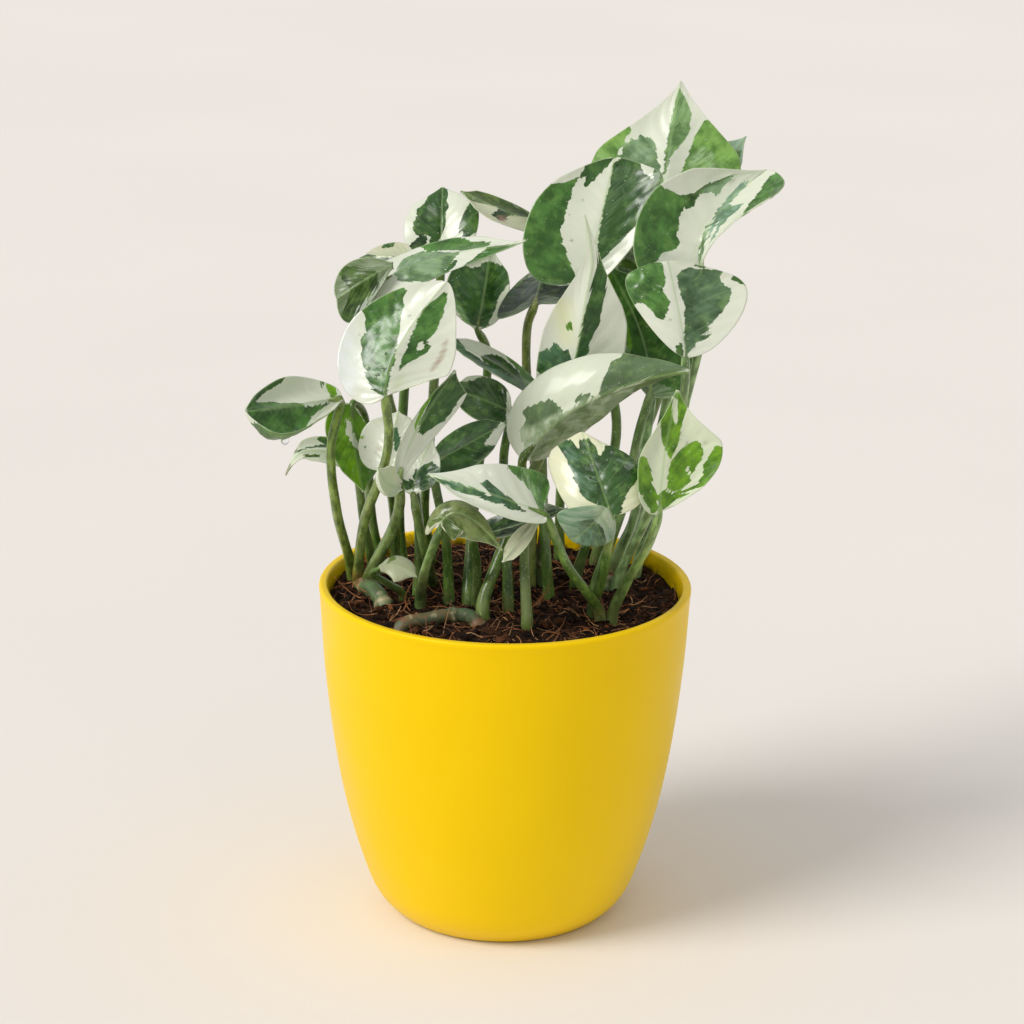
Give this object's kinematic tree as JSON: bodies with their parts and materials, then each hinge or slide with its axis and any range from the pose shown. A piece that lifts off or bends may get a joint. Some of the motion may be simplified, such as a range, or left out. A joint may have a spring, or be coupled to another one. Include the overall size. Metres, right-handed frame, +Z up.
{
  "type": "potted njoy pothos",
  "caption": "Small leafy pothos with cream and green leaves on slim stalks, in a round plain pot filled with soil. The flat base stands on a surface.",
  "frame": {"origin": "middle of the pot's flat base", "axes": "+Z up out of the pot, -Y towards the front from which the plant is seen, +X to the viewer's right"},
  "size_m": [0.1646, 0.1268, 0.2625],
  "materials": {
    "pot": "satin moulded",
    "soil": "coarse fibrous potting mix",
    "stem": "waxy green",
    "leaf_cream": "waxy, cream with green patches",
    "leaf_green": "waxy, green with cream bands",
    "leaf_dark": "waxy, dark green",
    "leaf_lime": "waxy, lime with cream patches"
  },
  "bodies": {
    "root": {"pot": "pot", "soil": "soil", "stem_left": "stem", "stem_front": "stem", "stem_upright": "stem", "stem_right": "stem", "leaf_cup_left": "leaf_cream", "leaf_droop_left": "leaf_cream", "leaf_lime_hang": "leaf_lime", "leaf_big_white": "leaf_cream", "leaf_fold_white": "leaf_cream", "leaf_small_white": "leaf_cream", "leaf_teal_white": "leaf_cream", "leaf_dark_tip": "leaf_dark", "leaf_front_white": "leaf_cream", "leaf_pale_fold": "leaf_lime", "leaf_under_dark": "leaf_dark", "leaf_round_patch": "leaf_green", "leaf_lime_right": "leaf_lime", "leaf_boat": "leaf_cream", "leaf_tall_point": "leaf_cream", "leaf_top_light": "leaf_lime", "leaf_tip_behind": "leaf_green", "leaf_centre_large": "leaf_green", "leaf_right_upper": "leaf_green", "leaf_shade_under": "leaf_dark", "leaf_heart_right": "leaf_green", "leaf_dark_behind": "leaf_dark", "leaf_cream_behind": "leaf_cream", "leaf_arch_left": "leaf_green", "leaf_back_patch": "leaf_cream", "leaf_olive_sliver": "leaf_cream", "leaf_small_far": "leaf_cream", "leaf_dark_middle": "leaf_dark", "leaf_teal_mid": "leaf_green", "leaf_grey_stripe": "leaf_green", "leaf_withered": "leaf_cream"}
  },
  "joints": []
}
